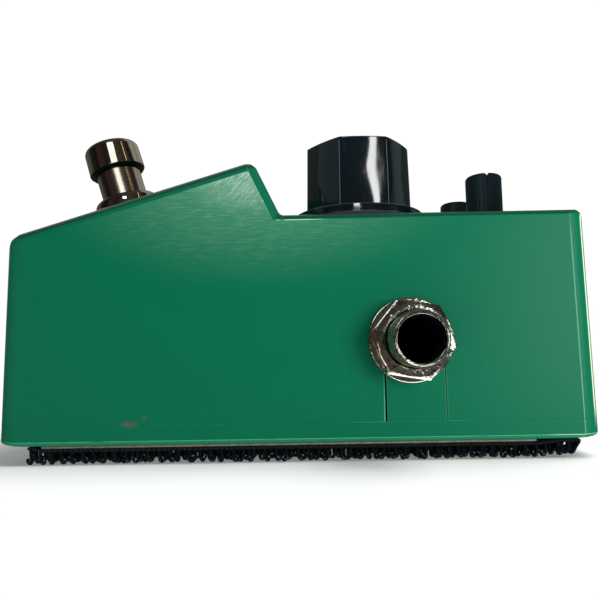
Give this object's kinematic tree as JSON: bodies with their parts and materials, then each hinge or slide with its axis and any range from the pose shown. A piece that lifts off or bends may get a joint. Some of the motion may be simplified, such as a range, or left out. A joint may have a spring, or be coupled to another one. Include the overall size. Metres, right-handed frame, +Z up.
{
  "type": "guitar effects pedal",
  "caption": "Mini stompbox with a sloping foot end, a faceted drive knob, slotted tone and level shafts, side jacks, a power socket and hook tape underneath.",
  "frame": {"origin": "on the surface that the hook tape rests on, under the middle of the case", "axes": "+X from the foot end to the control end, -Y towards the input jack's side, +Z up"},
  "size_m": [0.093, 0.056, 0.0577],
  "materials": {
    "green_paint": "semi-gloss green powder coat on die-cast metal, brushed bare of gloss near the peak",
    "gloss_black": "glossy moulded black",
    "matte_black": "satin moulded black",
    "dark_chrome": "polished dark nickel plate",
    "worn_nickel": "scratched nickel plate",
    "steel": "plain steel",
    "zinc": "zinc-plated steel",
    "copper": "phosphor bronze",
    "tape_glue": "beige adhesive, slightly dirty",
    "tape_backing": "woven nylon",
    "tape_hooks": "shiny nylon monofilament",
    "circuit_board": "green solder mask",
    "blue_plastic": "moulded blue",
    "white_paint": "white ink",
    "red_lens": "tinted clear moulding",
    "sleeve_blue": "shrink sleeve",
    "film_red": "dipped coating",
    "ribbon_grey": "flexible grey insulation"
  },
  "bodies": {
    "pedal": {"casing": "green_paint", "bottom_plate": "green_paint", "plate_screw_1": "zinc", "plate_screw_2": "zinc", "plate_screw_3": "zinc", "plate_screw_4": "zinc", "hook_tape_glue": "tape_glue", "hook_tape_backing": "tape_backing", "hook_tape_hooks": "tape_hooks", "footswitch_bushing": "dark_chrome", "footswitch_washer": "dark_chrome", "footswitch_nut": "dark_chrome", "footswitch_lock_washer": "steel", "footswitch_lock_nut": "steel", "footswitch_frame": "steel", "footswitch_body": "blue_plastic", "footswitch_spring": "steel", "footswitch_board": "circuit_board", "footswitch_lug_1": "copper", "footswitch_lug_2": "copper", "footswitch_lug_3": "copper", "footswitch_lug_4": "copper", "footswitch_lug_5": "copper", "footswitch_lug_6": "copper", "drive_pot": "zinc", "drive_washer": "worn_nickel", "drive_nut": "worn_nickel", "tone_pot": "zinc", "level_pot": "zinc", "led_lens": "red_lens", "led_bezel": "dark_chrome", "led_spacer": "matte_black", "input_jack_barrel": "worn_nickel", "input_jack_washer": "worn_nickel", "input_jack_nut": "worn_nickel", "input_jack_body": "matte_black", "input_jack_contact": "copper", "output_jack_barrel": "worn_nickel", "output_jack_washer": "worn_nickel", "output_jack_nut": "worn_nickel", "output_jack_body": "matte_black", "output_jack_contact": "copper", "power_socket": "matte_black", "power_pin": "worn_nickel", "main_board": "circuit_board", "amplifier_chip": "matte_black", "film_capacitor_1": "film_red", "film_capacitor_2": "film_red", "electrolytic_capacitor_1": "sleeve_blue", "electrolytic_capacitor_2": "sleeve_blue", "electrolytic_capacitor_3": "sleeve_blue", "ribbon_connector": "matte_black", "ribbon_cable": "ribbon_grey"},
    "footswitch": {"footswitch_plunger": "dark_chrome"},
    "drive": {"drive_knob": "gloss_black", "drive_pointer": "white_paint", "drive_shaft": "matte_black"},
    "tone": {"tone_shaft": "matte_black"},
    "level": {"level_shaft": "matte_black"}
  },
  "joints": [
    {"name": "footswitch_press", "type": "slide", "parent": "pedal", "child": "footswitch", "axis": [0.2885, 0, -0.9575], "range_m": [0, 0.0035], "stiffness_N_per_m": 1500, "deforming": ["footswitch_spring"]},
    {"name": "drive_turn", "type": "hinge", "parent": "pedal", "child": "drive", "pos_m": [0.01177, 0, 0.0546], "axis": [0, 0, 1], "range_deg": [-165.6, 134.4]},
    {"name": "tone_turn", "type": "hinge", "parent": "pedal", "child": "tone", "pos_m": [0.03291, -0.00929, 0.04649], "axis": [0, 0, 1], "range_deg": [-150, 150]},
    {"name": "level_turn", "type": "hinge", "parent": "pedal", "child": "level", "pos_m": [0.03291, 0.00929, 0.04649], "axis": [0, 0, 1], "range_deg": [-150, 150]}
  ]
}
